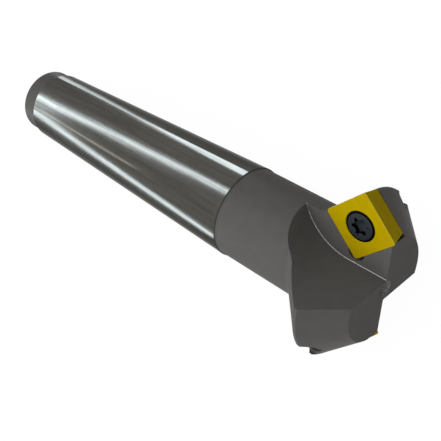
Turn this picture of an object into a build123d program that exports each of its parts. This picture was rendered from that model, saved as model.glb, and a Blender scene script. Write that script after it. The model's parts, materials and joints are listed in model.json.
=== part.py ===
from build123d import *
import os
from math import radians, sqrt, tan

# An indexable chamfer milling cutter with two teeth, in millimetres.
# It is modelled along +X, nose forwards, with the shank's large end at X = 0.
# The first tooth's rake face looks towards -Y and its insert stands out towards +Z.
# At the end the cutter is laid down as it comes to rest on a flat surface.

# Shank: a No. 3 self-holding taper
taper_large_diameter = 24.1
taper_rate = 1 / 19.922
shank_length = 86.0
end_collar_diameter = 19.0
end_collar_length = 6.5
end_chamfer = 1.0

# Drawbar thread and its centre, in the shank's end face
drawbar_wall_diameter = 10.2
drawbar_thread_length = 28.0
drawbar_drill_allowance = 6.0
drawbar_mouth_diameter = 14.0
drill_point_angle = 118.0
centre_angle = 60.0

# Neck and head
neck_diameter = 23.6
neck_root_radius = 3.0
head_diameter = 41.5
head_reach = 40.55
nose_cone_length = 7.85
nose_angle = 45.0
back_angle = 45.0
land_width = 0.75

# Centre hole in the nose
nose_mouth_diameter = 4.6
nose_pilot_diameter = 2.0
nose_pilot_length = 3.0

# Teeth and the gullets between them
tooth_count = 2
web_thickness = 5.6
gullet_flat_length = 10.0
gullet_runout_radius = 13.6
gullet_corner_radius = 0.35

# Square insert with leaning flanks
insert_side = 12.7
insert_thickness = 4.76
insert_clearance_angle = 11.0
insert_corner_radius = 0.8
insert_hole_diameter = 5.5
insert_sink_diameter = 7.6
insert_sink_angle = 60.0
insert_front_reach = 0.65
insert_edge_proud = 0.35

# Seat of the insert in its tooth
seat_wall_clearance = 0.02
seat_groove_height = 3.0
seat_groove_depth = 0.2
seat_relief_radius = 2.1
seat_relief_inset = 1.4

# Insert screw with a six-lobe recess
screw_thread_diameter = 5.0
screw_thread_clearance = 0.1
screw_thread_end_depth = 12.5
screw_exit_diameter = 6.2
screw_shank_diameter = 4.9
screw_head_diameter = 7.44
screw_edge_width = 0.55
screw_edge_drop = 0.16
screw_crown = 0.06
screw_length = 10.0
screw_tip_chamfer = 0.6
recess_outer_diameter = 4.4
recess_inner_diameter = 3.15
recess_flute_radius = 0.95
recess_lobe_radius = 0.25
recess_lobes = 6
recess_depth = 1.25

# Steps in finding how the cutter lies
rest_steps = 8

# Places along the axis, and radii, that follow from the sizes above
taper_small_x = end_collar_length - shank_length
taper_small_diameter = taper_large_diameter + taper_small_x * taper_rate
head_radius = head_diameter / 2
nose_radius = head_radius - nose_cone_length * tan(radians(nose_angle))
land_front_x = head_reach - nose_cone_length
land_back_x = land_front_x - land_width
neck_front_x = land_back_x - (head_radius - neck_diameter / 2) / tan(radians(back_angle))
half_web = web_thickness / 2

# The insert stands on one corner: half its diagonal reaches forwards and outwards
half_diagonal = insert_side / sqrt(2)
insert_x = head_reach + insert_front_reach - half_diagonal
insert_z = nose_radius - insert_front_reach + insert_edge_proud * sqrt(2)
flank_lean = tan(radians(insert_clearance_angle))
sink_slope = tan(radians(insert_sink_angle / 2))

# The insert's own frame: origin at its middle on the rake face, Z into the tooth,
# X square to the cutting edge, and the seat's walls at -X and +Y
insert_plane = Plane(origin=(insert_x, 0, insert_z), x_dir=(1, 0, 1), z_dir=(0, 1, 0))


def section_point(axial, radial):
    """A point of a half section, from its place along the axis and its radius."""
    return (axial, 0, radial)


def turned(*points):
    """A solid of revolution about the tool's axis from its half section."""
    return revolve(make_face(Polyline(*points, close=True)), Axis.X, 360)


def blank():
    """The turned blank: end collar, taper, neck and double cone of the head."""
    section = make_face(Polyline(
        section_point(-shank_length, 0),
        section_point(-shank_length, end_collar_diameter / 2 - end_chamfer),
        section_point(end_chamfer - shank_length, end_collar_diameter / 2),
        section_point(taper_small_x, end_collar_diameter / 2),
        section_point(taper_small_x, taper_small_diameter / 2),
        section_point(0, taper_large_diameter / 2),
        section_point(0, neck_diameter / 2),
        section_point(neck_front_x, neck_diameter / 2),
        section_point(land_back_x, head_radius),
        section_point(land_front_x, head_radius),
        section_point(head_reach, nose_radius),
        section_point(head_reach, 0),
        close=True,
    ))
    root = section.vertices().sort_by_distance(section_point(neck_front_x, neck_diameter / 2))[0]
    return revolve(fillet(root, neck_root_radius), Axis.X, 360)


def drawbar_bore():
    """The bore for the drawbar's thread, with a centre at its mouth and a drilled bottom."""
    wall = drawbar_wall_diameter / 2
    mouth = drawbar_mouth_diameter / 2
    thread_start_x = (mouth - wall) / tan(radians(centre_angle / 2)) - shank_length
    bottom_x = thread_start_x + drawbar_thread_length + drawbar_drill_allowance
    point_x = bottom_x + wall / tan(radians(drill_point_angle / 2))
    return turned(
        section_point(-shank_length, 0),
        section_point(-shank_length, mouth),
        section_point(thread_start_x, wall),
        section_point(bottom_x, wall),
        section_point(point_x, 0),
    )


def nose_centre():
    """The centre hole in the nose: a conical mouth and a short pilot."""
    mouth = nose_mouth_diameter / 2
    pilot = nose_pilot_diameter / 2
    pilot_x = head_reach - (mouth - pilot) / tan(radians(centre_angle / 2))
    bottom_x = pilot_x - nose_pilot_length
    point_x = bottom_x - pilot / tan(radians(drill_point_angle / 2))
    return turned(
        section_point(head_reach, 0),
        section_point(head_reach, mouth),
        section_point(pilot_x, pilot),
        section_point(bottom_x, pilot),
        section_point(point_x, 0),
    )


def gullet():
    """The space before a tooth's rake face: flat floor, round runout and a rounded corner."""
    flat_back_x = head_reach - gullet_flat_length
    runout_centre_z = half_web + gullet_runout_radius
    runout_back_x = flat_back_x - gullet_runout_radius
    runout_middle = gullet_runout_radius / sqrt(2)
    front_x = head_reach + gullet_flat_length
    top_z = head_diameter
    floor = Line(section_point(front_x, half_web), section_point(flat_back_x, half_web))
    runout = ThreePointArc(
        section_point(flat_back_x, half_web),
        section_point(flat_back_x - runout_middle, runout_centre_z - runout_middle),
        section_point(runout_back_x, runout_centre_z),
    )
    opening = Polyline(
        section_point(runout_back_x, runout_centre_z),
        section_point(runout_back_x, top_z),
        section_point(front_x, top_z),
        section_point(front_x, half_web),
    )
    space = extrude(make_face(floor + runout + opening), head_diameter, dir=(0, -1, 0))
    rake_side = space.faces().sort_by(Axis.Y)[-1]
    floor_corner = rake_side.edges().sort_by(Axis.Z)[:2]
    return fillet(floor_corner, gullet_corner_radius)


def seat():
    """The insert's pocket in the tooth, in the insert's own frame, with the screw's hole."""
    wall = insert_side / 2 + seat_wall_clearance
    reach = head_diameter
    middle = reach / 2 - wall
    opening = Pos(middle, -middle) * Rectangle(reach, reach)
    pocket = extrude(opening, insert_thickness, taper=insert_clearance_angle)
    groove_top = insert_thickness - seat_groove_height
    groove_wall = wall - groove_top * flank_lean + seat_groove_depth
    groove_middle = reach / 2 - groove_wall
    groove_floor = Pos(groove_middle, -groove_middle, groove_top) * Rectangle(reach, reach)
    groove = extrude(groove_floor, seat_groove_height)
    relief_middle = wall - seat_relief_inset
    relief = extrude(Pos(-relief_middle, relief_middle) * Circle(seat_relief_radius), insert_thickness)
    hole_radius = (screw_thread_diameter + screw_thread_clearance) / 2
    hole = extrude(Circle(hole_radius), head_diameter)
    exit_mouth = Pos(0, 0, screw_thread_end_depth) * Circle(screw_exit_diameter / 2)
    return pocket + groove + relief + hole + extrude(exit_mouth, head_diameter)


def cutter_body():
    """The one-piece body: the turned blank with its bores, gullets and insert seats."""
    body = blank() - drawbar_bore() - nose_centre()
    tooth_cut = [gullet(), insert_plane * seat()]
    for tooth in range(tooth_count):
        body = body - [turn_to(tooth) * cut for cut in tooth_cut]
    return body


def insert():
    """A square insert with leaning flanks, rounded corners and a countersunk hole."""
    outline = RectangleRounded(insert_side, insert_side, insert_corner_radius)
    plate = extrude(outline, insert_thickness, taper=insert_clearance_angle)
    hole = insert_hole_diameter / 2
    mouth = insert_sink_diameter / 2
    sink_depth = (mouth - hole) / sink_slope
    hole_section = Polyline(
        (0, 0, 0),
        (mouth, 0, 0),
        (hole, 0, sink_depth),
        (hole, 0, insert_thickness),
        (0, 0, insert_thickness),
        close=True,
    )
    return insert_plane * (plate - revolve(make_face(hole_section), Axis.Z, 360))


def lobed_recess(depth_at_top):
    """The six-lobe drive recess: a round bore with flutes left standing between its lobes."""
    flute_ring = recess_inner_diameter / 2 + recess_flute_radius
    flutes = PolarLocations(flute_ring, recess_lobes) * Circle(recess_flute_radius)
    lobes = Circle(recess_outer_diameter / 2) - flutes
    rounded = fillet(lobes.vertices(), recess_lobe_radius)
    return extrude(Pos(0, 0, depth_at_top) * rounded, recess_depth)


def insert_screw():
    """A countersunk screw with a crowned, bevelled head, seated in the insert and the tooth."""
    rim = screw_head_diameter / 2
    crown_rim = rim - screw_edge_width
    shank = screw_shank_diameter / 2
    thread = screw_thread_diameter / 2
    rim_depth = (insert_sink_diameter - screw_head_diameter) / 2 / sink_slope
    shank_depth = rim_depth + (rim - shank) / sink_slope
    crown_rim_depth = rim_depth - screw_edge_drop
    crown_depth = crown_rim_depth - screw_crown
    tip_depth = rim_depth + screw_length
    crown = TangentArc((0, 0, crown_depth), (crown_rim, 0, crown_rim_depth), tangent=(1, 0, 0))
    flanks = Polyline(
        (crown_rim, 0, crown_rim_depth),
        (rim, 0, rim_depth),
        (shank, 0, shank_depth),
        (shank, 0, insert_thickness),
        (thread, 0, insert_thickness),
        (thread, 0, tip_depth - screw_tip_chamfer),
        (thread - screw_tip_chamfer, 0, tip_depth),
        (0, 0, tip_depth),
        (0, 0, crown_depth),
    )
    turned_screw = revolve(make_face(crown + flanks), Axis.Z, 360)
    return insert_plane * (turned_screw - lobed_recess(crown_depth))


def turn_to(tooth):
    """The turn about the tool's axis that brings the first tooth's pieces to another tooth."""
    return Rot(X=tooth * 360 / tooth_count)


def resting_plane():
    """The flat surface under the cutter when it lies on one gullet's side.

    It touches the last insert's outer corner, the heel of the first tooth at that gullet's
    floor and the rim at the taper's small end. Its Z looks up, and its X along the tool.
    """
    corner_reach = insert_z + half_diagonal - insert_corner_radius * (sqrt(2) - 1)
    insert_corner = Vector(insert_x, 0, -corner_reach)
    heel = Vector(land_back_x, sqrt(head_radius**2 - half_web**2), -half_web)
    rim_radius = taper_small_diameter / 2
    rim_centre = Vector(taper_small_x, 0, 0)
    rim = rim_centre - Vector(0, 0, rim_radius)
    for _ in range(rest_steps):
        up = (insert_corner - rim).cross(heel - rim).normalized()
        rim = rim_centre - Vector(0, up.Y, up.Z).normalized() * rim_radius
    forwards = Vector(1, 0, 0) - up * up.X
    return Plane(origin=rim, x_dir=forwards, z_dir=up)


def laid_down(pieces):
    """The pieces on the ground, with the middle of their box over the origin."""
    ground = resting_plane()
    lying = {name: ground.to_local_coords(piece) for name, piece in pieces.items()}
    box = Compound(list(lying.values())).bounding_box()
    to_origin = Pos(-box.center().X, -box.center().Y, -box.min.Z)
    return {name: to_origin * piece for name, piece in lying.items()}


if __name__ == "__main__":
    os.makedirs("parts", exist_ok=True)
    pieces = {"cutter_body": cutter_body()}
    for tooth in range(tooth_count):
        pieces[f"insert_{tooth + 1}"] = turn_to(tooth) * insert()
        pieces[f"insert_screw_{tooth + 1}"] = turn_to(tooth) * insert_screw()
    for name, piece in laid_down(pieces).items():
        export_step(piece, f"parts/{name}.step")
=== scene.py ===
"""An indexable chamfer milling cutter, lying on a pale surface under soft studio light."""

import json
import logging
import math
from collections.abc import Callable
from dataclasses import dataclass
from enum import Enum, IntEnum

import bmesh
import bpy
from mathutils import Matrix, Vector

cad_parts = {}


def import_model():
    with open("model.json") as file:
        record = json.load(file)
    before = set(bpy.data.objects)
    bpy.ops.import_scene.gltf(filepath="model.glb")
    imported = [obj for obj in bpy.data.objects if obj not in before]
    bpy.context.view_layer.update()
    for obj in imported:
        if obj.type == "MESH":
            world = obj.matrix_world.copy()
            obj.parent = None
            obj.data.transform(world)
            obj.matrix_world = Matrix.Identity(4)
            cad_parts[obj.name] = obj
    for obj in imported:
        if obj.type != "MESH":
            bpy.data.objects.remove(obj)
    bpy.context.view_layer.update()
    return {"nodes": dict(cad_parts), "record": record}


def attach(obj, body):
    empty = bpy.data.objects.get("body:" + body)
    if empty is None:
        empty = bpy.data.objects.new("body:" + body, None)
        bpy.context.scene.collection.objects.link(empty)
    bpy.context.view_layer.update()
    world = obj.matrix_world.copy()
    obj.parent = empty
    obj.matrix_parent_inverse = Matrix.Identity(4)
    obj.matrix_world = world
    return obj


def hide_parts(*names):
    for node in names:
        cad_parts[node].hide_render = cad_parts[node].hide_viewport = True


LOG = logging.getLogger("cutter")
MM = 0.001
QUARTER_TURN = math.pi / 2
EIGHTH_TURN = math.pi / 4
WHITE = (1.0, 1.0, 1.0)

# Places of the colour sockets on a Mix node
MIX_FIRST, MIX_SECOND, MIX_RESULT = 6, 7, 2

Place = tuple[float, float, float]
Colour = tuple[float, float, float]
RadiusRule = Callable[[float], float]


class NodeName(Enum):
    """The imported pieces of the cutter."""

    BODY = "cutter_body"
    INSERT = "insert_{}"
    SCREW = "insert_screw_{}"

    def of_tooth(self, number: int) -> str:
        """The node's name for one tooth."""
        return self.value.format(number)


class SlotName(Enum):
    """The record's material slots."""

    BODY = "body_steel"
    INSERT = "insert_coating"
    SCREW = "screw_steel"


class Band(IntEnum):
    """Material places on an insert or a screw."""

    FACE = 0
    # EDGE holds the insert's honed edges in a painted highlight and the screw's head bevel and recess walls
    # in a painted shade
    EDGE = 1
    # FLANK holds the insert's flanks in a painted shade
    FLANK = 2


def rgba(colour: Colour) -> tuple[float, float, float, float]:
    """An opaque colour with its alpha."""
    return (*colour, 1.0)


def turn_to(x_way: Vector, y_way: Vector, z_way: Vector) -> Matrix:
    """The turn that takes the X, Y and Z axes to three ways."""
    return Matrix((x_way, y_way, z_way)).transposed().to_4x4()


def added_object(name: str, data: bpy.types.ID) -> bpy.types.Object:
    """Adds an object to the scene.

    Args:
        name: its name.
        data: its mesh, lamp or camera.

    Returns:
        The new object.
    """
    made = bpy.data.objects.new(name, data)
    bpy.context.scene.collection.objects.link(made)
    return made


@dataclass(frozen=True)
class ToolLie:
    """How the cutter lies. Its own frame has +X along the axis to the nose, from the taper's large end.

    Attributes:
        origin: the taper's large end on the axis, in metres.
        axis: direction of the axis towards the nose.
        roll_deg: turn of the cutter about its own axis.
    """

    origin: Vector
    axis: Vector
    roll_deg: float = -42.0959

    @classmethod
    def from_record(cls, record: dict, gauge_offset: float = 5.0) -> "ToolLie":
        """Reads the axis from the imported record's taper mount.

        Args:
            record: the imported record.
            gauge_offset: how far the mount's gauge plane is behind the large end, in millimetres.

        Returns:
            The lie of the cutter.
        """
        mount = next(one for one in record["mounts"] if one["name"] == "taper_shank")
        axis = -Vector(mount["axis"]).normalized()
        return cls(Vector(mount["pos_m"]) + axis * gauge_offset * MM, axis)

    def matrix(self) -> Matrix:
        """Works out where the cutter's own frame lies.

        Returns:
            The matrix from that frame in millimetres to the scene in metres.
        """
        level = Vector((0, 0, 1)).cross(self.axis).normalized()
        pitched = turn_to(self.axis, level, self.axis.cross(level))
        roll = Matrix.Rotation(math.radians(self.roll_deg), 4, "X")
        return Matrix.Translation(self.origin) @ pitched @ roll @ Matrix.Scale(MM, 4)

    def point(self, place: Place) -> Vector:
        """A point of the cutter's own frame, in the scene."""
        return self.matrix() @ Vector(place)

    def direction(self, way: Place) -> Vector:
        """A direction of the cutter's own frame, in the scene."""
        return (self.matrix().to_3x3() @ Vector(way)).normalized()


class NodeBench:
    """Lays out the nodes of one material or of the world."""

    def __init__(self, owner: bpy.types.ID, output_kind: str) -> None:
        """Clears the owner's nodes and adds its output.

        Args:
            owner: the material or the world.
            output_kind: the type of its output node.
        """
        owner.use_nodes = True
        self.owner = owner
        self.tree = owner.node_tree
        self.tree.nodes.clear()
        self.output = self.node(output_kind)

    @classmethod
    def for_material(cls, name: str) -> "NodeBench":
        """A bench for a new material."""
        return cls(bpy.data.materials.new(name), "ShaderNodeOutputMaterial")

    @classmethod
    def for_world(cls, name: str) -> "NodeBench":
        """A bench for a new world."""
        return cls(bpy.data.worlds.new(name), "ShaderNodeOutputWorld")

    def node(self, kind: str, **settings: object) -> bpy.types.Node:
        """Adds a node.

        Args:
            kind: the node's type.
            **settings: attributes to set on it.

        Returns:
            The new node.
        """
        made = self.tree.nodes.new(kind)
        for key, value in settings.items():
            setattr(made, key, value)
        return made

    def link(self, source: bpy.types.NodeSocket, target: bpy.types.NodeSocket) -> None:
        """Joins two sockets."""
        self.tree.links.new(source, target)

    def feed(self, target: bpy.types.NodeSocket, value: object) -> None:
        """Fills an input.

        Args:
            target: the input.
            value: a socket or a plain value.
        """
        if isinstance(value, bpy.types.NodeSocket):
            self.link(value, target)
        else:
            target.default_value = value

    def math(self, operation: str, *values: object) -> bpy.types.NodeSocket:
        """Adds a Math node.

        Args:
            operation: the Math node's operation.
            *values: sockets or numbers for its inputs.

        Returns:
            Its result.
        """
        made = self.node("ShaderNodeMath", operation=operation)
        for target, value in zip(made.inputs, values):
            self.feed(target, value)
        return made.outputs[0]

    def plus(self, first: object, second: object) -> bpy.types.NodeSocket:
        """The sum of two numbers."""
        return self.math("ADD", first, second)

    def minus(self, first: object, second: object) -> bpy.types.NodeSocket:
        """The first number less the second."""
        return self.math("SUBTRACT", first, second)

    def times(self, first: object, second: object) -> bpy.types.NodeSocket:
        """The product of two numbers."""
        return self.math("MULTIPLY", first, second)

    def larger(self, first: object, second: object) -> bpy.types.NodeSocket:
        """The larger of two numbers."""
        return self.math("MAXIMUM", first, second)

    def diagonal(self, first: object, second: object) -> bpy.types.NodeSocket:
        """The diagonal of a rectangle with two sides."""
        return self.math("SQRT", self.plus(self.times(first, first), self.times(second, second)))

    def ramp(self, value: object, low: float, high: float, start: float = 0.0,
             end: float = 1.0) -> bpy.types.NodeSocket:
        """Maps a value by a clamped straight ramp.

        Args:
            value: what is mapped.
            low: the value that gives start.
            high: the value that gives end.
            start: the result at and below low.
            end: the result at and above high.

        Returns:
            The mapped value.
        """
        made = self.node("ShaderNodeMapRange")
        self.feed(made.inputs["Value"], value)
        for name, number in (("From Min", low), ("From Max", high), ("To Min", start), ("To Max", end)):
            made.inputs[name].default_value = number
        return made.outputs["Result"]

    def between(self, value: object, low: float, high: float, fade: float) -> bpy.types.NodeSocket:
        """Picks a span of a value.

        Args:
            value: what is looked at.
            low: where the span starts.
            high: where it ends.
            fade: length of its soft ends.

        Returns:
            One inside the span and nothing outside.
        """
        rise = self.ramp(value, low, low + fade)
        fall = self.ramp(value, high - fade, high, 1.0, 0.0)
        return self.times(rise, fall)

    def blend(self, factor: object, first: object, second: object) -> bpy.types.NodeSocket:
        """Mixes two colours.

        Args:
            factor: how much of the second there is.
            first: the first colour.
            second: the second colour.

        Returns:
            The mixed colour.
        """
        made = self.node("ShaderNodeMix", data_type="RGBA")
        self.feed(made.inputs["Factor"], factor)
        self.feed(made.inputs[MIX_FIRST], first)
        self.feed(made.inputs[MIX_SECOND], second)
        return made.outputs[MIX_RESULT]

    def scaled(self, colour: object, tone: object) -> bpy.types.NodeSocket:
        """Makes a colour lighter or darker.

        Args:
            colour: the colour.
            tone: what it is multiplied by.

        Returns:
            The toned colour.
        """
        made = self.node("ShaderNodeVectorMath", operation="SCALE")
        self.feed(made.inputs[0], colour)
        self.feed(made.inputs["Scale"], tone)
        return made.outputs[0]

    def vectors(self, operation: str, first: object, second: object) -> bpy.types.NodeSocket:
        """Adds a Vector Math node.

        Args:
            operation: its operation.
            first: the first vector.
            second: the second vector.

        Returns:
            Its result.
        """
        made = self.node("ShaderNodeVectorMath", operation=operation)
        self.feed(made.inputs[0], first)
        self.feed(made.inputs[1], second)
        return made.outputs["Value" if operation == "DOT_PRODUCT" else "Vector"]

    def noise(self, vector: object, scale: float, detail: float) -> bpy.types.NodeSocket:
        """Adds smooth noise.

        Args:
            vector: the place that it varies over.
            scale: its scale.
            detail: how much fine noise it holds.

        Returns:
            The noise, between 0 and 1.
        """
        made = self.node("ShaderNodeTexNoise")
        self.feed(made.inputs["Vector"], vector)
        made.inputs["Scale"].default_value = scale
        made.inputs["Detail"].default_value = detail
        return made.outputs["Fac"]

    def tool_frame(self, lie: ToolLie) -> bpy.types.NodeSocket:
        """Centres and turns Object coordinates to the cutter's own frame.

        Args:
            lie: how the cutter lies.

        Returns:
            The place in that frame, in millimetres.
        """
        back = lie.matrix().inverted()
        place = self.node("ShaderNodeMapping", vector_type="POINT")
        self.link(self.node("ShaderNodeTexCoord").outputs["Object"], place.inputs["Vector"])
        place.inputs["Location"].default_value = back.to_translation()
        place.inputs["Rotation"].default_value = back.to_euler()
        place.inputs["Scale"].default_value = back.to_scale()
        return place.outputs["Vector"]

    def parts(self, vector: bpy.types.NodeSocket) -> list[bpy.types.NodeSocket]:
        """Takes a vector apart.

        Args:
            vector: the vector.

        Returns:
            Its X, Y and Z.
        """
        made = self.node("ShaderNodeSeparateXYZ")
        self.link(vector, made.inputs[0])
        return list(made.outputs)

    def vector(self, x: object, y: object, z: object) -> bpy.types.NodeSocket:
        """Puts a vector together.

        Args:
            x: its X.
            y: its Y.
            z: its Z.

        Returns:
            The vector.
        """
        made = self.node("ShaderNodeCombineXYZ")
        for target, value in zip(made.inputs, (x, y, z)):
            self.feed(target, value)
        return made.outputs[0]

    def soft_edges(self, radius: float, samples: int = 6) -> bpy.types.NodeSocket:
        """Rounds off sharp edges in the normal.

        Args:
            radius: the rounding's radius, in millimetres.
            samples: how many rays look for edges.

        Returns:
            The rounded normal.
        """
        made = self.node("ShaderNodeBevel", samples=samples)
        made.inputs["Radius"].default_value = radius * MM
        return made.outputs["Normal"]

    def bump(self, height: object, depth: float, normal: object) -> bpy.types.NodeSocket:
        """Bends a normal by a height.

        Args:
            height: the height, from 0 to 1.
            depth: how deep it is, in millimetres.
            normal: the normal that it bends.

        Returns:
            The bent normal.
        """
        made = self.node("ShaderNodeBump")
        self.feed(made.inputs["Height"], height)
        self.feed(made.inputs["Normal"], normal)
        made.inputs["Distance"].default_value = depth * MM
        made.inputs["Strength"].default_value = 1.0
        return made.outputs["Normal"]

    def seen(self) -> bpy.types.NodeSocket:
        """Tells what the camera sees, straight or in metal and glass, from what lights the object.

        Returns:
            One for what is seen and nothing for light.
        """
        rays = self.node("ShaderNodeLightPath").outputs
        mirrored = self.larger(rays["Is Glossy Ray"], rays["Is Transmission Ray"])
        return self.larger(rays["Is Camera Ray"], mirrored)

    def shader(self, **sockets: object) -> bpy.types.Material:
        """Ends the material with one surface shader.

        Args:
            **sockets: the shader's inputs, with spaces written as underscores.

        Returns:
            The finished material.
        """
        made = self.node("ShaderNodeBsdfPrincipled")
        for name, value in sockets.items():
            self.feed(made.inputs[name.replace("_", " ")], value)
        self.link(made.outputs["BSDF"], self.output.inputs["Surface"])
        return self.owner


@dataclass(frozen=True)
class Grain:
    """Smooth noise over a surface.

    Attributes:
        scale: its scale, over millimetres.
        detail: how much fine noise it holds.
        stretch: what X, Y and Z are multiplied by first.
        low: the noise that counts as its lowest.
        high: the noise that counts as its highest.
    """

    scale: float
    detail: float
    stretch: Place = (1.0, 1.0, 1.0)
    low: float = 0.3
    high: float = 0.7

    def over(self, bench: NodeBench, place: object) -> bpy.types.NodeSocket:
        """The noise over a place."""
        return bench.noise(bench.vectors("MULTIPLY", place, self.stretch), self.scale, self.detail)

    def spread(self, bench: NodeBench, noise: object, start: float, end: float) -> bpy.types.NodeSocket:
        """This grain's noise, spread between two numbers."""
        return bench.ramp(noise, self.low, self.high, start, end)

    def toned(self, bench: NodeBench, place: object, start: float, end: float) -> bpy.types.NodeSocket:
        """A number between two others that follows the grain over a place."""
        return self.spread(bench, self.over(bench, place), start, end)


@dataclass(frozen=True)
class BodySteel:
    """The body's finish: a ground taper between a satin collar and a satin neck and head, in millimetres.

    Attributes:
        taper_from: axial place where the ground surface starts.
        taper_to: axial place where it ends.
        taper_fade: length over which it fades at both ends.
        ground_radius: radius that the ground surface lies outside of.
        ground_colour: colour of the ground steel.
        satin_colour: colour of the satin steel.
        ground_roughness: roughness of the ground steel.
        satin_roughness: roughness of the satin steel.
        roughness_spread: how far the turning marks raise and lower the roughness.
        specular: the satin steel's specular level.
        specular_tint: its specular colour.
        anisotropy: how far grinding round the taper draws its highlights out along it.
        tangent_lean: lean of the tangent's axis off the cutter's, so that faces square to the axis have
            a tangent too.
        edge_radius: rounding of the edges.
        mark_depth: depth of the turning marks.
        line_tone: how much the fine lines along the taper lighten and darken it.
        cloud_tone: how much the steel is clouded lighter and darker.
        half_web: half the web between the gullets.
        runout_x: axial place where a gullet's floor starts to curve up.
        runout_radius: radius of that curve.
        highlight_width: width of the painted highlight, a light band along the rounded corner between a
            gullet's floor and its rake wall.
        highlight_fade: length over which the painted highlight fades at its sides.
        highlight_colour: its light colour, which paints the highlight.
        centre_radius: radius inside which the nose's drilled centre lies.
        centre_fade: length over which it fades out at that radius.
        centre_from: axial place past which the centre lies.
        inner_fade: length over which the ground surface fades towards the bore, and the drilled centre
            towards the taper.
        centre_light_tone: how much lighter the painted light makes the drilled centre at most.
        along_lines: grain of the fine lines along the taper.
        turning_marks: grain of the turning marks round the axis.
        cloud: grain of the clouding.
        speckled_light: grain of the speckles in the drilled centre's painted light.
    """

    taper_from: float = -79.5
    taper_to: float = 0.0
    taper_fade: float = 0.06
    ground_radius: float = 7.2
    ground_colour: Colour = (0.080, 0.078, 0.069)
    satin_colour: Colour = (0.099, 0.095, 0.0915)
    ground_roughness: float = 0.16
    satin_roughness: float = 0.50
    roughness_spread: float = 0.02
    specular: float = 0.02
    specular_tint: Colour = (0.45, 0.45, 0.45)
    anisotropy: float = 0.9
    tangent_lean: float = 0.002
    edge_radius: float = 0.12
    mark_depth: float = 0.004
    line_tone: float = 0.14
    cloud_tone: float = 0.04
    half_web: float = 2.8
    runout_x: float = 30.55
    runout_radius: float = 13.6
    highlight_width: float = 0.15
    highlight_fade: float = 0.03
    highlight_colour: Colour = (0.57, 0.56, 0.53)
    centre_radius: float = 2.29
    centre_fade: float = 0.05
    centre_from: float = 30.0
    inner_fade: float = 0.1
    centre_light_tone: float = 1.8
    along_lines: Grain = Grain(1.7, 1.0, (0.02, 1.0, 1.0))
    turning_marks: Grain = Grain(1.0, 4.0, (9.0, 0.05, 0.05))
    cloud: Grain = Grain(0.35, 3.0)
    speckled_light: Grain = Grain(4.5, 2.0, low=0.35, high=0.65)

    def material(self, lie: ToolLie) -> bpy.types.Material:
        """Builds the finish.

        Args:
            lie: how the cutter lies.

        Returns:
            The material.
        """
        bench = NodeBench.for_material("body_steel")
        place = bench.tool_frame(lie)
        x, y, z = bench.parts(place)
        radius = bench.diagonal(y, z)
        outside = bench.ramp(radius, self.ground_radius, self.ground_radius + self.inner_fade)
        ground = bench.times(outside, bench.between(x, self.taper_from, self.taper_to, self.taper_fade))
        # painted highlight: a light metallic band along each gullet's rounded corner
        highlight_band = self.painted_highlight_corner(bench, x, y, z)
        steel = self.painted_light_centre(bench, self.clouded(bench, place, ground), place, x, radius)
        marks = self.turning_marks.over(bench, place)
        shine = bench.larger(ground, highlight_band)
        even = bench.ramp(shine, 0.0, 1.0, self.satin_roughness, self.ground_roughness)
        uneven = self.turning_marks.spread(bench, marks, -self.roughness_spread, self.roughness_spread)
        satin_marks = bench.times(marks, bench.minus(1.0, ground))
        return bench.shader(
            # the light colour blended in along the gullets' rounded corners is a painted highlight
            Base_Color=bench.blend(highlight_band, steel, rgba(self.highlight_colour)),
            Metallic=shine,
            Roughness=bench.plus(even, uneven),
            Anisotropic=self.anisotropy,
            Tangent=self.tangent(bench, lie),
            Specular_IOR_Level=self.specular,
            Specular_Tint=rgba(self.specular_tint),
            Normal=bench.bump(satin_marks, self.mark_depth, bench.soft_edges(self.edge_radius)),
        )

    def clouded(self, bench: NodeBench, place: object, ground: object) -> bpy.types.NodeSocket:
        """Colours the steel, with its clouding and the fine lines along the taper.

        Args:
            bench: where the material is laid out.
            place: the place in the cutter's own frame.
            ground: one on the ground taper, nothing elsewhere.

        Returns:
            The colour.
        """
        plain = bench.blend(ground, rgba(self.satin_colour), rgba(self.ground_colour))
        lines = self.along_lines.toned(bench, place, -self.line_tone, self.line_tone)
        cloud = self.cloud.toned(bench, place, 1.0 - self.cloud_tone, 1.0 + self.cloud_tone)
        return bench.scaled(plain, bench.plus(cloud, bench.times(ground, lines)))

    def painted_light_centre(self, bench: NodeBench, steel: object, place: object, x: object,
                    radius: object) -> bpy.types.NodeSocket:
        """Paints speckled light into the nose's drilled centre, lightening the hollow where it would lie in
        shade.
            steel: the colour elsewhere.
            place: the place in the cutter's own frame.
            x: axial place.
            radius: distance from the axis.

        Returns:
            The colour.
        """
        # painted light: the hollow centre's colour is raised by speckled noise so that it reads as lit
        inside = bench.ramp(radius, self.centre_radius - self.centre_fade, self.centre_radius, 1.0, 0.0)
        forward = bench.ramp(x, self.centre_from, self.centre_from + self.inner_fade)
        speckled_light = self.speckled_light.toned(bench, place, 0.0, self.centre_light_tone)
        return bench.scaled(steel, bench.plus(1.0, bench.times(bench.times(inside, forward), speckled_light)))

    def painted_highlight_corner(self, bench: NodeBench, x: object, y: object, z: object) -> bpy.types.NodeSocket:
        """Picks the painted highlight, a light band along the rounded corner between a gullet's floor and
        its rake wall.

        Args:
            bench: where the material is laid out.
            x: axial place.
            y: first place across the axis.
            z: second place across the axis.

        Returns:
            One on the corner and nothing elsewhere.
        """
        off_wall = bench.times(bench.times(y, bench.math("SIGN", z)), -1.0)
        behind = bench.math("MINIMUM", bench.minus(x, self.runout_x), 0.0)
        beside = bench.minus(bench.math("ABSOLUTE", z), self.half_web + self.runout_radius)
        off_floor = bench.minus(self.runout_radius, bench.diagonal(behind, beside))
        near_wall = bench.between(off_wall, 0.0, self.highlight_width, self.highlight_fade)
        near_floor = bench.between(off_floor, 0.0, self.highlight_width, self.highlight_fade)
        return bench.times(near_wall, near_floor)

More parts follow.
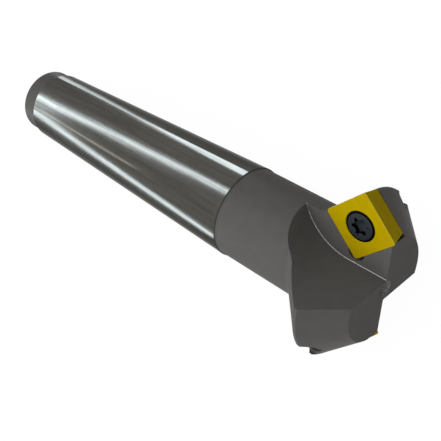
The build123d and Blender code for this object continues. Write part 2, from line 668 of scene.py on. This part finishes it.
    def tangent(self, bench: NodeBench, lie: ToolLie) -> bpy.types.NodeSocket:
        """Finds the way along the surface that the highlights are drawn out in.

        Args:
            bench: where the material is laid out.
            lie: how the cutter lies.

        Returns:
            The tangent, along the axis.
        """
        normal = bench.node("ShaderNodeNewGeometry").outputs["Normal"]
        axis = lie.direction((1.0, self.tangent_lean, 0.0))
        around = bench.vectors("CROSS_PRODUCT", normal, axis)
        return bench.vectors("CROSS_PRODUCT", around, normal)


@dataclass(frozen=True)
class Coating:
    """A satin coating with a faint change of tone and fine lapping lines, in millimetres.

    Attributes:
        name: the material's name.
        colour: its colour.
        second_colour: the colour that it clouds towards.
        roughness: its roughness.
        metallic: how metallic it is, from 0 to 1.
        specular: its specular level.
        roughness_spread: how far the grit raises and lowers the roughness.
        line_tone: how much the lapping lines lighten and darken it.
        line_depth: depth of the lapping lines.
        line_drift: how fast the lines change along their length, for each millimetre of axial place.
        edge_radius: rounding of the edges.
        cloud: grain of the change of tone.
        grit: grain of the roughness.
        lines: grain of the lapping lines.
    """

    name: str
    colour: Colour
    second_colour: Colour
    roughness: float
    metallic: float
    specular: float = 0.5
    roughness_spread: float = 0.03
    line_tone: float = 0.03
    line_depth: float = 0.002
    line_drift: float = 0.05
    edge_radius: float = 0.03
    cloud: Grain = Grain(0.45, 4.0, low=0.35, high=0.65)
    grit: Grain = Grain(4.0, 4.0)
    lines: Grain = Grain(9.0, 2.0)

    def material(self, lie: ToolLie) -> bpy.types.Material:
        """Builds the finish.

        Args:
            lie: how the cutter lies.

        Returns:
            The material.
        """
        bench = NodeBench.for_material(self.name)
        place = bench.tool_frame(lie)
        x, y, z = bench.parts(place)
        clouded = self.cloud.toned(bench, place, 0.0, 1.0)
        colour = bench.blend(clouded, rgba(self.colour), rgba(self.second_colour))
        across = bench.vector(bench.plus(x, z), y, bench.times(x, self.line_drift))
        lines = self.lines.over(bench, across)
        smoothest = self.roughness - self.roughness_spread
        roughest = self.roughness + self.roughness_spread
        tone = self.lines.spread(bench, lines, 1.0 - self.line_tone, 1.0 + self.line_tone)
        return bench.shader(
            Base_Color=bench.scaled(colour, tone),
            Metallic=self.metallic,
            Roughness=self.grit.toned(bench, place, smoothest, roughest),
            Specular_IOR_Level=self.specular,
            Normal=bench.bump(lines, self.line_depth, bench.soft_edges(self.edge_radius)),
        )


@dataclass(frozen=True)
class Finishes:
    """The cutter's materials.

    Attributes:
        body: the body's steel.
        coating: the insert's coating.
        painted_edge_highlight: the insert's honed cutting edges, lighter and more metallic than the coating
            as a painted highlight.
        shaded_flank: the coating on the insert's ground flanks, darkened as a painted shade.
        screw: the screw's blued steel.
        painted_screw_shade: near-black painted shade on the bevel round the screw's head and on its recess
            walls.
    """

    body: bpy.types.Material
    coating: bpy.types.Material
    painted_edge_highlight: bpy.types.Material
    shaded_flank: bpy.types.Material
    screw: bpy.types.Material
    painted_screw_shade: bpy.types.Material

    @classmethod
    def mixed(cls, lie: ToolLie) -> "Finishes":
        """Mixes all the materials.

        Args:
            lie: how the cutter lies.

        Returns:
            The materials.
        """
        finishes = (
            BodySteel(),
            Coating("insert_coating", (0.405, 0.297, 0.0), (0.385, 0.270, 0.0),
                    roughness=0.45, metallic=0.0, specular=0.01),
            # the honed edges' lighter colour is a painted highlight
            Coating("painted_edge_highlight", (0.56, 0.43, 0.03), (0.52, 0.39, 0.02),
                    roughness=0.35, metallic=0.3),
            # the flanks' coating is the face coating darkened, a painted shade
            Coating("insert_flank", (0.325, 0.238, 0.0), (0.309, 0.217, 0.0),
                    roughness=0.45, metallic=0.0, specular=0.01),
            Coating("screw_steel", (0.026, 0.034, 0.040), (0.020, 0.026, 0.034),
                    roughness=0.40, metallic=0.2, specular=0.2),
            # near-black painted shade for the gap round the screw's head and inside its recess
            Coating("screw_painted_shade", (0.002, 0.002, 0.002), (0.001, 0.001, 0.001),
                    roughness=0.60, metallic=0.0, specular=0.03),
        )
        return cls(*(finish.material(lie) for finish in finishes))


def round_rule(radius: float) -> RadiusRule:
    """A circle's radius at any angle."""
    return lambda angle: radius


def grown_rule(rule: RadiusRule, width: float) -> RadiusRule:
    """A rule's reach and a little more, at any angle."""
    return lambda angle: rule(angle) + width


def square_rule(half: float, corner: float) -> RadiusRule:
    """Describes a square with rounded corners.

    Args:
        half: half its side.
        corner: its corners' radius.

    Returns:
        The rule from angle to reach.
    """
    straight = half - corner
    corner_place = straight * math.sqrt(2)

    def reach(angle: float) -> float:
        """Finds the outline at an angle.

        Args:
            angle: the angle, in radians.

        Returns:
            Its distance from the middle.
        """
        from_side = (angle + EIGHTH_TURN) % QUARTER_TURN - EIGHTH_TURN
        if half * math.tan(abs(from_side)) <= straight:
            return half / math.cos(from_side)
        from_corner = EIGHTH_TURN - abs(from_side)
        across = corner_place * math.sin(from_corner)
        return corner_place * math.cos(from_corner) + math.sqrt(max(corner**2 - across**2, 0.0))

    return reach


def lobed_rule(outer: float, inner: float, flute: float, lobes: int) -> RadiusRule:
    """Describes a recess with round flutes left standing between its lobes.

    Args:
        outer: radius over the lobes.
        inner: radius between the flutes.
        flute: radius of a flute.
        lobes: number of lobes.

    Returns:
        The rule from angle to reach.
    """
    step = 2 * math.pi / lobes
    flute_place = inner + flute

    def reach(angle: float) -> float:
        """Finds the recess's wall at an angle.

        Args:
            angle: the angle, in radians.

        Returns:
            Its distance from the middle.
        """
        from_flute = (angle + step / 2) % step - step / 2
        depth = flute**2 - (flute_place * math.sin(from_flute)) ** 2
        if depth <= 0:
            return outer
        return min(outer, flute_place * math.cos(from_flute) - math.sqrt(depth))

    return reach


class RingSkin:
    """Makes one piece of rings about the Z axis of its own frame, each joined to the next."""

    def __init__(self, segments: int = 48) -> None:
        """Starts an empty piece.

        Args:
            segments: points on each ring.
        """
        self.segments = segments
        self.work = bmesh.new()
        self.rings: list[list[bmesh.types.BMEdge]] = []

    def ring(self, rule: RadiusRule, depth: float, band: int = Band.FACE) -> None:
        """Adds a ring and joins it to the one before.

        Args:
            rule: the ring's reach at any angle.
            depth: its place along Z.
            band: material place of the skin between the two rings.
        """
        made = bmesh.ops.create_circle(self.work, cap_ends=False, radius=1.0, segments=self.segments)
        for vert in made["verts"]:
            reach = rule(math.atan2(vert.co.y, vert.co.x))
            vert.co = Vector((vert.co.x * reach, vert.co.y * reach, depth))
        edges = list({edge for vert in made["verts"] for edge in vert.link_edges})
        self.rings.append(edges)
        if len(self.rings) > 1:
            self.join(self.rings[-2], edges, band)

    def join(self, first: list[bmesh.types.BMEdge], second: list[bmesh.types.BMEdge],
             band: int = Band.FACE) -> None:
        """Spans the skin between two rings.

        Args:
            first: one ring's edges.
            second: the other ring's edges.
            band: material place of the skin.
        """
        skin = bmesh.ops.bridge_loops(self.work, edges=first + second)
        for face in skin["faces"]:
            face.material_index = band

    def close(self) -> None:
        """Joins the last ring to the first."""
        self.join(self.rings[-1], self.rings[0])

    def cap(self, ring: int) -> None:
        """Closes one ring with a flat face."""
        bmesh.ops.contextual_create(self.work, geom=self.rings[ring])

    def thread(self, root: float, crest: float, pitch: float, start: float, turns: float,
               crest_flat: float = 0.125, root_flat: float = 0.125, steps: int = 48) -> None:
        """Winds a thread's closed ridge round the axis.

        Args:
            root: radius at the foot of the ridge.
            crest: radius at its crest.
            pitch: its rise in one turn.
            start: where it starts along Z.
            turns: number of turns.
            crest_flat: share of the pitch that is flat at the crest.
            root_flat: share of the pitch that is flat between two feet.
            steps: steps in one turn.
        """
        foot = (1.0 - root_flat) / 2
        section = ((root, -foot), (crest, -crest_flat / 2), (crest, crest_flat / 2), (root, foot))
        verts = [self.work.verts.new((radius, 0, start + (0.5 + part) * pitch)) for radius, part in section]
        edges = [self.work.edges.new(pair) for pair in zip(verts, verts[1:] + verts[:1])]
        swept = bmesh.ops.spin(self.work, geom=verts + edges, cent=(0, 0, 0), axis=(0, 0, 1),
                               dvec=(0, 0, pitch / steps), angle=2 * math.pi * turns,
                               steps=round(steps * turns))
        last = [part for part in swept["geom_last"] if isinstance(part, bmesh.types.BMEdge)]
        for end in (edges, last):
            bmesh.ops.contextual_create(self.work, geom=end)

    def piece(self, name: str, place: Matrix, materials: list[bpy.types.Material],
              sharp_deg: float = 24.0) -> bpy.types.Object:
        """Ends the work as an object whose mesh lies where it belongs.

        Args:
            name: the object's name.
            place: the matrix from the piece's own frame to the scene.
            materials: its materials, by band.
            sharp_deg: edges that turn more than this stay sharp.

        Returns:
            The new object.
        """
        bmesh.ops.recalc_face_normals(self.work, faces=self.work.faces)
        for face in self.work.faces:
            face.smooth = True
        mesh = bpy.data.meshes.new(name)
        self.work.to_mesh(mesh)
        self.work.free()
        mesh.transform(place)
        mesh.set_sharp_from_angle(angle=math.radians(sharp_deg))
        for material in materials:
            mesh.materials.append(material)
        LOG.info("built %s with %d faces", name, len(mesh.polygons))
        return added_object(name, mesh)


@dataclass(frozen=True)
class SquareInsert:
    """A square insert with leaning flanks, honed cutting edges and a countersunk hole, in millimetres.

    Attributes:
        side: its side on the rake face.
        thickness: its thickness.
        clearance_deg: lean of its flanks.
        corner: its corners' radius.
        hone: width of the honed cutting edge.
        hole: diameter of its hole.
        sink: diameter of the countersink's mouth.
        sink_deg: angle of the countersink.
        back_edge: rounding of its back edges.
        segments: points on each ring.
    """

    side: float = 12.7
    thickness: float = 4.76
    clearance_deg: float = 11.0
    corner: float = 0.8
    hone: float = 0.07
    hole: float = 5.5
    sink: float = 7.6
    sink_deg: float = 60.0
    back_edge: float = 0.12
    segments: int = 360

    def sink_slope(self) -> float:
        """The countersink's change of radius for each millimetre of depth."""
        return math.tan(math.radians(self.sink_deg / 2))

    def outline(self, depth: float, inset: float = 0.0) -> RadiusRule:
        """The insert's outline at a depth under the rake face."""
        lean = depth * math.tan(math.radians(self.clearance_deg)) + inset
        return square_rule(self.side / 2 - lean, max(self.corner - lean, self.back_edge))

    def build(self, name: str, place: Matrix, materials: list[bpy.types.Material]) -> bpy.types.Object:
        """Builds the insert.

        Args:
            name: the object's name.
            place: the matrix from the insert's own frame to the scene.
            materials: its face material, its honed edges' painted highlight and its flanks' painted shade.

        Returns:
            The insert.
        """
        mouth = self.sink / 2
        bore = self.hole / 2
        sink_depth = (mouth - bore) / self.sink_slope()
        flank_depth = self.thickness - self.back_edge
        skin = RingSkin(self.segments)
        skin.ring(round_rule(bore), flank_depth)
        skin.ring(round_rule(bore), sink_depth)
        skin.ring(round_rule(mouth), self.hone)
        skin.ring(round_rule(mouth + self.hone), 0.0)
        skin.ring(self.outline(0.0, self.hone), 0.0)
        # the honed edge takes a lighter colour, a painted highlight
        skin.ring(self.outline(self.hone), self.hone, Band.EDGE)
        # the flanks take the darker coating, a painted shade
        skin.ring(self.outline(flank_depth), flank_depth, Band.FLANK)
        skin.ring(self.outline(self.thickness, self.back_edge), self.thickness, Band.FLANK)
        skin.ring(round_rule(bore + self.back_edge), self.thickness)
        skin.close()
        return skin.piece(name, place, materials)


@dataclass(frozen=True)
class CountersunkScrew:
    """The insert's screw: a bevelled head with a six-lobe recess, a shank and a thread, in millimetres.

    Attributes:
        thread: diameter over the thread.
        core: diameter at its roots.
        pitch: its pitch.
        foot_sink: how far the thread's foot is sunk into the core.
        lead_in: share of the pitch between the insert's back and the thread.
        run_out: turns left off before the tip.
        shank_step: how much the shank's radius is less than the thread's.
        head: diameter of the head.
        edge_width: width of the bevel round the head.
        edge_drop: depth of that bevel.
        edge_bulge: share of that depth at the middle of its width.
        crown: rise of the crown inside it.
        length: length under the head's rim.
        tip_chamfer: chamfer of the tip.
        recess_outer: diameter over the recess's lobes.
        recess_inner: diameter between its flutes.
        recess_flute: radius of a flute.
        recess_depth: depth of the recess.
        recess_edge: height of the rounding at the recess's floor and mouth.
        recess_mouth: width of the rounding at its mouth.
        recess_lip: depth of the mouth's rim under the crown.
        recess_step: how much the floor's radius is less than the flutes'.
        drill_point: depth of the drilled point under the recess's floor.
        drill_tip_share: radius of the drilled point's flat, as a share of the core's diameter.
        lobes: number of the recess's lobes.
        segments: points on each ring.
    """

    thread: float = 5.0
    core: float = 4.1
    pitch: float = 0.8
    foot_sink: float = 0.02
    lead_in: float = 0.25
    run_out: float = 1.5
    shank_step: float = 0.05
    head: float = 7.44
    edge_width: float = 0.55
    edge_drop: float = 0.16
    edge_bulge: float = 0.3
    crown: float = 0.06
    length: float = 10.0
    tip_chamfer: float = 0.3
    recess_outer: float = 4.4
    recess_inner: float = 3.15
    recess_flute: float = 0.95
    recess_depth: float = 1.25
    recess_edge: float = 0.08
    recess_mouth: float = 0.1
    recess_lip: float = 0.01
    recess_step: float = 0.2
    drill_point: float = 0.3
    drill_tip_share: float = 1 / 12
    lobes: int = 6
    segments: int = 240

    def build(self, name: str, place: Matrix, seat: SquareInsert,
              materials: list[bpy.types.Material]) -> bpy.types.Object:
        """Builds the screw, seated in its insert.

        Args:
            name: the object's name.
            place: the matrix from the insert's own frame to the scene.
            seat: the insert that it holds.
            materials: its face material and the near-black painted shade for its head's bevel and recess
                walls.

        Returns:
            The screw.
        """
        rim_depth = (seat.sink - self.head) / 2 / seat.sink_slope()
        crown_rim_depth = rim_depth - self.edge_drop
        crown_depth = crown_rim_depth - self.crown
        skin = RingSkin(self.segments)
        self.add_recess(skin, crown_depth)
        rim = self.head / 2
        skin.ring(round_rule(rim - self.edge_width * 2), crown_depth + self.crown / 3)
        skin.ring(round_rule(rim - self.edge_width), crown_rim_depth)
        bulge_depth = crown_rim_depth + self.edge_drop * self.edge_bulge
        # the bevel round the head takes the painted shade
        skin.ring(round_rule(rim - self.edge_width / 2), bulge_depth, Band.EDGE)
        skin.ring(round_rule(rim), rim_depth, Band.EDGE)
        self.add_shank(skin, rim_depth, seat)
        return skin.piece(name, place, materials)

    def add_recess(self, skin: RingSkin, crown_depth: float) -> None:
        """Adds the recess, from its drilled point up to its mouth.

        Args:
            skin: the screw's skin.
            crown_depth: place of the crown along Z.
        """
        wall = lobed_rule(self.recess_outer / 2, self.recess_inner / 2, self.recess_flute, self.lobes)
        floor_depth = crown_depth + self.recess_depth
        skin.ring(round_rule(self.core * self.drill_tip_share), floor_depth + self.drill_point)
        skin.cap(0)
        skin.ring(round_rule(self.recess_inner / 2 - self.recess_step), floor_depth)
        skin.ring(wall, floor_depth - self.recess_edge)
        # the recess walls take the painted shade
        skin.ring(wall, crown_depth + self.recess_edge, Band.EDGE)
        skin.ring(grown_rule(wall, self.recess_mouth), crown_depth + self.recess_lip)

    def add_shank(self, skin: RingSkin, rim_depth: float, seat: SquareInsert) -> None:
        """Adds the head's cone, the shank, the core and the thread.

        Args:
            skin: the screw's skin, which ends at the head's rim.
            rim_depth: place of the head's rim along Z.
            seat: the insert that the screw holds.
        """
        neck_depth = rim_depth + (self.head - self.thread) / 2 / seat.sink_slope()
        tip_depth = rim_depth + self.length
        shank = round_rule(self.thread / 2 - self.shank_step)
        core = self.core / 2
        skin.ring(shank, neck_depth)
        skin.ring(shank, seat.thickness)
        skin.ring(round_rule(core), seat.thickness + self.pitch / 2)
        skin.ring(round_rule(core), tip_depth - self.tip_chamfer)
        skin.ring(round_rule(core - self.tip_chamfer), tip_depth)
        skin.cap(-1)
        turns = (tip_depth - seat.thickness) / self.pitch - self.run_out
        start = seat.thickness + self.pitch * self.lead_in
        skin.thread(core - self.foot_sink, self.thread / 2, self.pitch, start, turns)


@dataclass(frozen=True)
class HoleThread:
    """A thread's ridge inside a hole of the body, in millimetres.

    Attributes:
        wall: radius of the hole that the ridge stands on.
        crest: radius inside the ridge.
        pitch: its pitch.
        start: place along the hole where it starts.
        end: place where it ends.
        crest_flat: share of the pitch that is flat at the crest.
    """

    wall: float
    crest: float
    pitch: float
    start: float
    end: float
    crest_flat: float = 0.25

    def build(self, name: str, place: Matrix, finishes: Finishes) -> bpy.types.Object:
        """Builds the ridge in the body's steel.

        Args:
            name: the object's name.
            place: the matrix from the hole's own frame, whose Z runs along it, to the scene.
            finishes: the cutter's materials.

        Returns:
            The ridge.
        """
        skin = RingSkin()
        turns = (self.end - self.start) / self.pitch - 1.0
        skin.thread(self.wall, self.crest, self.pitch, self.start, turns, self.crest_flat)
        made = skin.piece(name, place, [finishes.body])
        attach(made, "root")
        return made


@dataclass(frozen=True)
class Tooth:
    """One tooth's insert and screw.

    Attributes:
        number: which tooth it is, from 1.
        insert_x: axial place of the insert's middle.
        insert_z: its distance from the axis.
        thread: the thread's last turns in the tooth, past the screw's tip.
        count: how many teeth there are.
    """

    number: int
    insert_x: float = 32.2197
    insert_z: float = 12.7450
    thread: HoleThread = HoleThread(wall=2.56, crest=2.1, pitch=0.8, start=9.6, end=12.5)
    count: int = 2

    def place(self, lie: ToolLie) -> Matrix:
        """Works out where the insert's own frame lies. Its Z points into the tooth.

        Args:
            lie: how the cutter lies.

        Returns:
            The matrix from that frame to the scene.
        """
        along = Vector((1, 0, 1)).normalized()
        into = Vector((0, 1, 0))
        turned = turn_to(along, into.cross(along), into)
        middle = Matrix.Translation((self.insert_x, 0, self.insert_z))
        turn = Matrix.Rotation(2 * math.pi * (self.number - 1) / self.count, 4, "X")
        return lie.matrix() @ turn @ middle @ turned

    def build(self, lie: ToolLie, finishes: Finishes) -> None:
        """Builds and dresses the tooth's pieces in place of their plain nodes.

        Args:
            lie: how the cutter lies.
            finishes: the cutter's materials.
        """
        place = self.place(lie)
        shape = SquareInsert()
        insert = shape.build(f"insert_detail_{self.number}", place,
                             [finishes.coating, finishes.painted_edge_highlight, finishes.shaded_flank])
        self.fit(insert, NodeName.INSERT)
        screw = CountersunkScrew().build(f"screw_detail_{self.number}", place, shape,
                                         [finishes.screw, finishes.painted_screw_shade])
        self.fit(screw, NodeName.SCREW)
        self.thread.build(f"tapped_thread_{self.number}", place, finishes)

    def fit(self, piece: bpy.types.Object, node: NodeName) -> None:
        """Puts a detailed piece in its node's place.

        Args:
            piece: the detailed piece.
            node: the plain node that it stands for.
        """
        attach(piece, "root")
        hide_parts(node.of_tooth(self.number))


@dataclass(frozen=True)
class CutterBody:
    """The body, which stays as packed, and its drawbar thread.

    Attributes:
        thread: the drawbar thread in the shank, in millimetres along the cutter's axis.
    """

    thread: HoleThread = HoleThread(wall=5.12, crest=4.5, pitch=1.75, start=-82.6, end=-52.0)

    def build(self, node: bpy.types.Object, lie: ToolLie, finishes: Finishes) -> None:
        """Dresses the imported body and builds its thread's turns.

        Args:
            node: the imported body.
            lie: how the cutter lies.
            finishes: the cutter's materials.
        """
        for place in node.material_slots:
            place.link = "OBJECT"
            place.material = finishes.body
        LOG.info("dressed %s", node.name)
        along_axis = Matrix.Rotation(QUARTER_TURN, 4, "Y")
        self.thread.build("drawbar_thread", lie.matrix() @ along_axis, finishes)


@dataclass(frozen=True)
class StripLight:
    """A long soft lamp that faces the cutter's axis. Places are in the scene, in millimetres.

    Attributes:
        name: the lamp's name.
        start: the middle of one end.
        end: the middle of the other end.
        width: its width.
        radiance: how bright its face is.
        colour: its colour.
        soft: whether it lights dull surfaces, in place of showing in shining ones.
    """

    name: str
    start: Place
    end: Place
    width: float
    radiance: float
    colour: Colour = (0.76, 0.87, 1.0)
    soft: bool = False

    def build(self, lie: ToolLie) -> bpy.types.Object:
        """Hangs the lamp.

        Args:
            lie: how the cutter lies.

        Returns:
            The lamp's object.
        """
        start, end = Vector(self.start) * MM, Vector(self.end) * MM
        middle = (start + end) / 2
        length = (end - start).length
        along = (end - start).normalized()
        nearest = lie.origin + lie.axis * (middle - lie.origin).dot(lie.axis)
        away = middle - nearest
        away = (away - along * away.dot(along)).normalized()
        data = bpy.data.lights.new(self.name, "AREA")
        data.shape = "RECTANGLE"
        data.size = length
        data.size_y = self.width * MM
        data.color = self.colour
        data.energy = self.radiance * math.pi * length * self.width * MM
        lamp = added_object(self.name, data)
        lamp.matrix_world = Matrix.Translation(middle) @ turn_to(along, away.cross(along), away)
        lamp.visible_camera = False
        lamp.visible_diffuse = self.soft
        lamp.visible_glossy = not self.soft
        return lamp


@dataclass(frozen=True)
class Studio:
    """The pale floor, the soft lamps, the room and the camera.

    Attributes:
        camera_place: the camera's place in the cutter's own frame, in millimetres.
        camera_view: the way it looks, in that frame.
        camera_up: the way up in its picture, in that frame.
        lens: its lens, in millimetres.
        sensor: its sensor's width, in millimetres.
        shift: its shift.
        nearest_seen: how near it sees, in metres.
        floor_size: the floor's side, in metres.
        floor_grey: how much of its light the floor gives back.
        floor_glow: how bright the floor looks to the camera by itself.
        floor_glow_share: how much of what the camera sees is that glow, and the rest holds the shadow.
        bright_way: the way to the brightest side of the room, in the scene.
        bright_sky: the room's light from there.
        dim_sky: its light where it has faded out.
        dim_from: how far round that is, as the cosine from the bright way.
        lamps: the strip lights.
    """

    camera_place: Place = (97.47, -108.99, 106.19)
    camera_view: Place = (-1.0, 1.0, -1.0)
    camera_up: Place = (-1.0, 1.0, 2.0)
    lens: float = 59.13
    sensor: float = 36.0
    shift: tuple[float, float] = (0.01247, -0.04034)
    nearest_seen: float = 0.01
    floor_size: float = 6.0
    floor_grey: float = 0.8
    floor_glow: float = 1.02
    floor_glow_share: float = 0.95
    bright_way: Place = (-0.900, -1.024, 0.627)
    bright_sky: float = 1.93
    dim_sky: float = 0.02
    dim_from: float = -0.313
    lamps: tuple[StripLight, ...] = (
        StripLight("far_strip", (-84.8, 25.1, 10.2), (9.9, 31.1, 28.4), 7.2, 12.5),
        StripLight("top_strip", (-247.0, -49.0, 118.5), (-83.3, 60.6, 177.8), 38.0, 11.5),
        StripLight("near_strip", (-85.4, -23.6, 22.8), (6.0, -33.8, 13.0), 7.5, 13.5),
        StripLight("thin_strip", (-80.0, -18.9, 28.6), (-31.0, -22.0, 34.3), 1.6, 5.0, (1.0, 0.93, 0.91)),
        StripLight("end_card", (-140.0, -8.0, 72.0), (-137.0, -62.0, 28.0), 60.0, 6.0),
        StripLight("soft_card", (475.0, -55.0, 550.0), (475.0, 295.0, 550.0), 350.0, 1.5, WHITE, True),
    )

    def build(self, lie: ToolLie) -> None:
        """Sets up everything round the cutter.

        Args:
            lie: how the cutter lies.
        """
        self.add_floor()
        self.add_room()
        for lamp in self.lamps:
            lamp.build(lie)
        self.add_camera(lie)
        bpy.context.scene.view_settings.view_transform = "Standard"

    def add_floor(self) -> bpy.types.Object:
        """Lays the floor, white to the camera and to reflections where nothing shades it.

        Returns:
            The floor.
        """
        mesh = bpy.data.meshes.new("floor")
        work = bmesh.new()
        bmesh.ops.create_grid(work, x_segments=1, y_segments=1, size=self.floor_size / 2)
        work.to_mesh(mesh)
        work.free()
        floor = added_object("floor", mesh)
        bench = NodeBench.for_material("floor_white")
        diffuse = bench.node("ShaderNodeBsdfDiffuse")
        diffuse.inputs["Color"].default_value = rgba((self.floor_grey,) * 3)
        glow = bench.node("ShaderNodeEmission")
        glow.inputs["Color"].default_value = rgba(WHITE)
        glow.inputs["Strength"].default_value = self.floor_glow
        mix = bench.node("ShaderNodeMixShader")
        bench.link(bench.times(bench.seen(), self.floor_glow_share), mix.inputs["Fac"])
        bench.link(diffuse.outputs[0], mix.inputs[1])
        bench.link(glow.outputs[0], mix.inputs[2])
        bench.link(mix.outputs[0], bench.output.inputs["Surface"])
        mesh.materials.append(bench.owner)
        return floor

    def add_room(self) -> None:
        """Fills the room with soft light that fades from its bright side to the other."""
        bench = NodeBench.for_world("room")
        way = bench.node("ShaderNodeTexCoord").outputs["Generated"]
        facing = bench.vectors("DOT_PRODUCT", way, Vector(self.bright_way).normalized())
        light = bench.ramp(facing, self.dim_from, 1.0, self.dim_sky, self.bright_sky)
        strength = bench.node("ShaderNodeMix")
        bench.link(bench.seen(), strength.inputs["Factor"])
        bench.link(light, strength.inputs["A"])
        strength.inputs["B"].default_value = 1.0
        back = bench.node("ShaderNodeBackground")
        back.inputs["Color"].default_value = rgba(WHITE)
        bench.link(strength.outputs["Result"], back.inputs["Strength"])
        bench.link(back.outputs[0], bench.output.inputs["Surface"])
        bpy.context.scene.world = bench.owner

    def add_camera(self, lie: ToolLie) -> bpy.types.Object:
        """Sets the camera at the photograph's viewing angle.

        Args:
            lie: how the cutter lies.

        Returns:
            The camera.
        """
        data = bpy.data.cameras.new("camera")
        data.lens = self.lens
        data.sensor_width = self.sensor
        data.sensor_fit = "HORIZONTAL"
        data.shift_x, data.shift_y = self.shift
        data.clip_start = self.nearest_seen
        camera = added_object("camera", data)
        view = lie.direction(self.camera_view)
        right = view.cross(lie.direction(self.camera_up)).normalized()
        turned = turn_to(right, right.cross(view), -view)
        camera.matrix_world = Matrix.Translation(lie.point(self.camera_place)) @ turned
        bpy.context.scene.camera = camera
        return camera


@dataclass(frozen=True)
class MillingCutter:
    """The whole cutter.

    Attributes:
        lie: how it lies.
        tooth_count: number of its teeth.
    """

    lie: ToolLie
    tooth_count: int = 2

    def build(self, nodes: dict) -> None:
        """Builds the body's and the teeth's pieces.

        Args:
            nodes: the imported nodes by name.
        """
        finishes = Finishes.mixed(self.lie)
        CutterBody().build(nodes[NodeName.BODY.value], self.lie, finishes)
        for number in range(1, self.tooth_count + 1):
            Tooth(number).build(self.lie, finishes)


def main() -> None:
    """Builds the scene."""
    logging.basicConfig(level=logging.INFO)
    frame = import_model()
    lie = ToolLie.from_record(frame["record"])
    MillingCutter(lie).build(frame["nodes"])
    Studio().build(lie)


if __name__ == "__main__":
    main()
